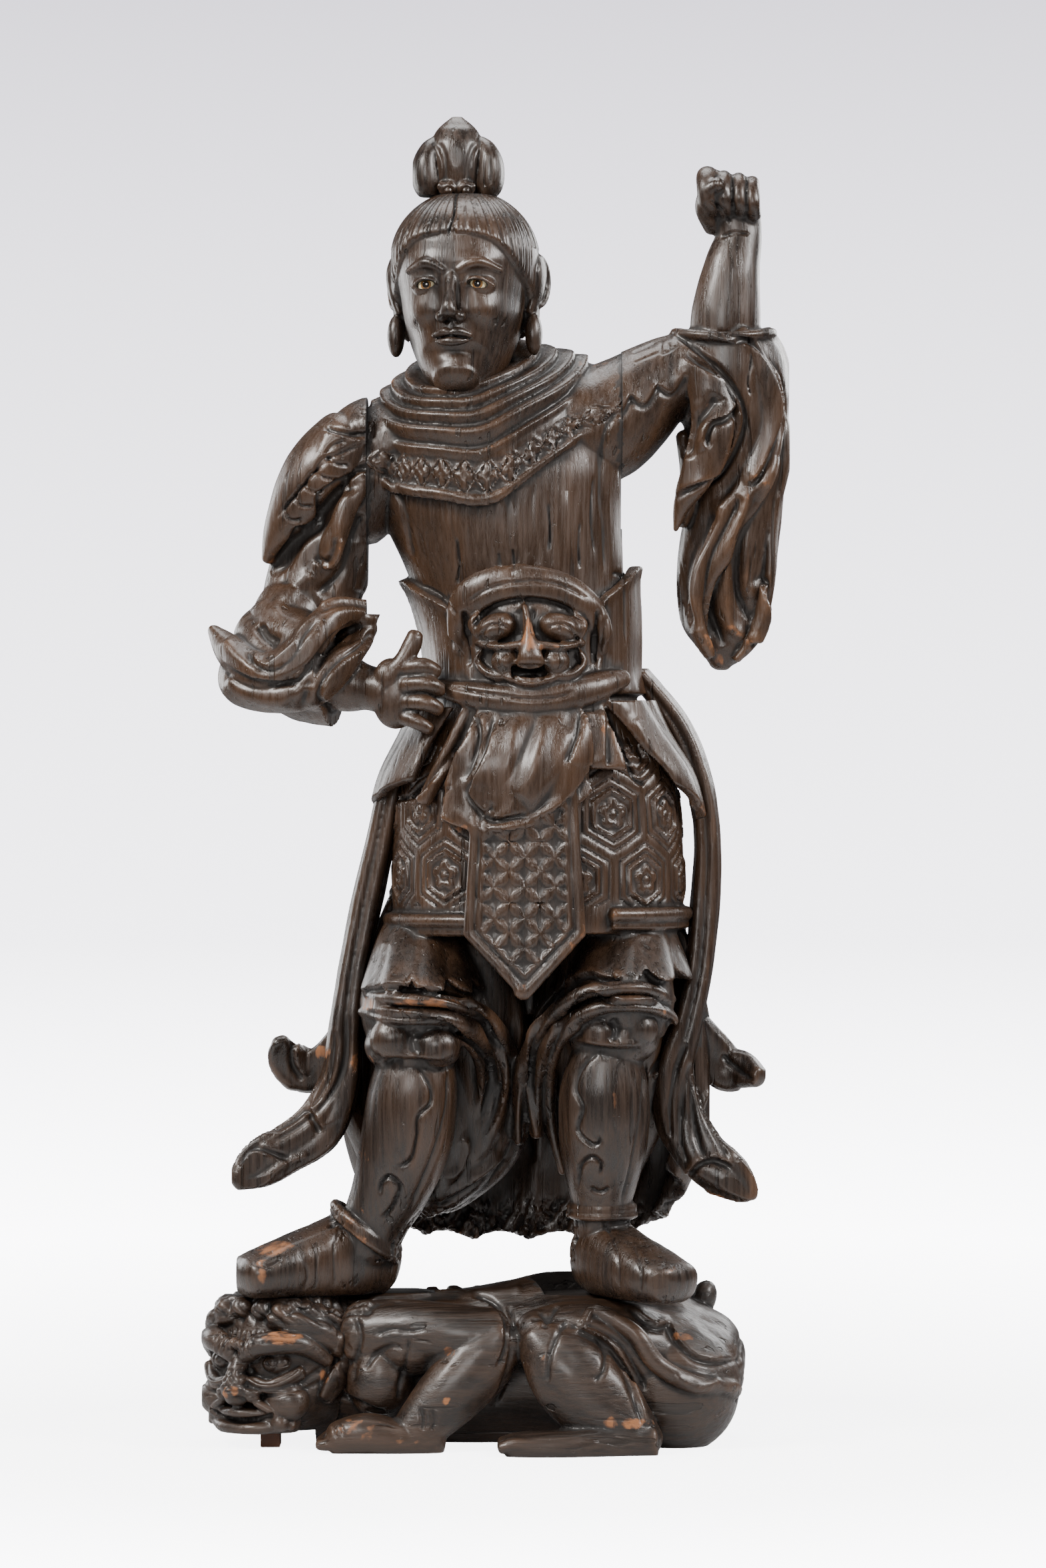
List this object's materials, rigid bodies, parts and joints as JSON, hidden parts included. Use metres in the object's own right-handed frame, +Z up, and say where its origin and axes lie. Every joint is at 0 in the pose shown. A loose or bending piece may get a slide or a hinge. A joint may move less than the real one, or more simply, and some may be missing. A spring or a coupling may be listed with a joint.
{
  "type": "guardian statue",
  "caption": "Carved wooden guardian king in armour, one fist raised, standing on a crouching demon; stands on its flat underside.",
  "frame": {"origin": "bottom centre of the whole statue's box, on the floor", "axes": "+Z up, +X towards the figure's left, which is the viewer's right, and -Y the way the figure faces"},
  "size_m": [0.5774, 0.2736, 1.3001],
  "materials": {
    "dark_wood": "dark lacquer worn to a satin brown",
    "demon_wood": "dark lacquer worn matt, with bare edges",
    "raw_wood": "bare reddish wood",
    "eye_glass": "polished inlay"
  },
  "bodies": {
    "root": {"body": "dark_wood", "raised_arm": "dark_wood", "lowered_arm": "dark_wood", "topknot": "dark_wood", "scarf_right": "dark_wood", "scarf_left": "dark_wood", "eye_right": "eye_glass", "eye_left": "eye_glass", "demon": "demon_wood", "chin_wedge": "raw_wood"}
  },
  "joints": []
}
